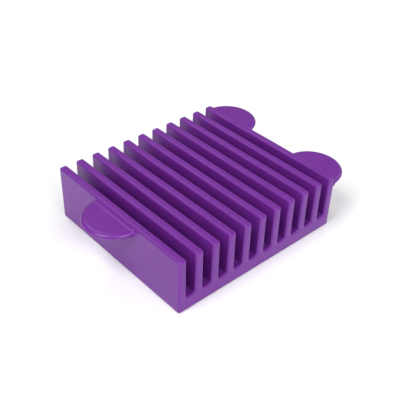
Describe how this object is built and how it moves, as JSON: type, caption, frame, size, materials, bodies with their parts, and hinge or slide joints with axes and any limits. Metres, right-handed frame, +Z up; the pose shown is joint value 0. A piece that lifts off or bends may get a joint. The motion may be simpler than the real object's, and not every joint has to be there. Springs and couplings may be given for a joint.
{
  "type": "silicone soap mould",
  "caption": "Shallow one-piece silicone mould: a thick base with upright parallel walls, open-ended slots between them, and half-disc thumb tabs on two sides.",
  "frame": {"origin": "middle of the underside, where the mould rests", "axes": "+X along the slots, +Y across the slots towards the wall with two tabs, +Z up"},
  "size_m": [0.121, 0.1718, 0.039],
  "materials": {
    "silicone": "satin"
  },
  "bodies": {
    "root": {"base_plate": "silicone", "front_wall": "silicone", "divider_1": "silicone", "divider_2": "silicone", "divider_3": "silicone", "divider_4": "silicone", "divider_5": "silicone", "divider_6": "silicone", "divider_7": "silicone", "divider_8": "silicone", "divider_9": "silicone", "back_wall": "silicone", "front_tab": "silicone", "back_left_tab": "silicone", "back_right_tab": "silicone"}
  },
  "joints": []
}
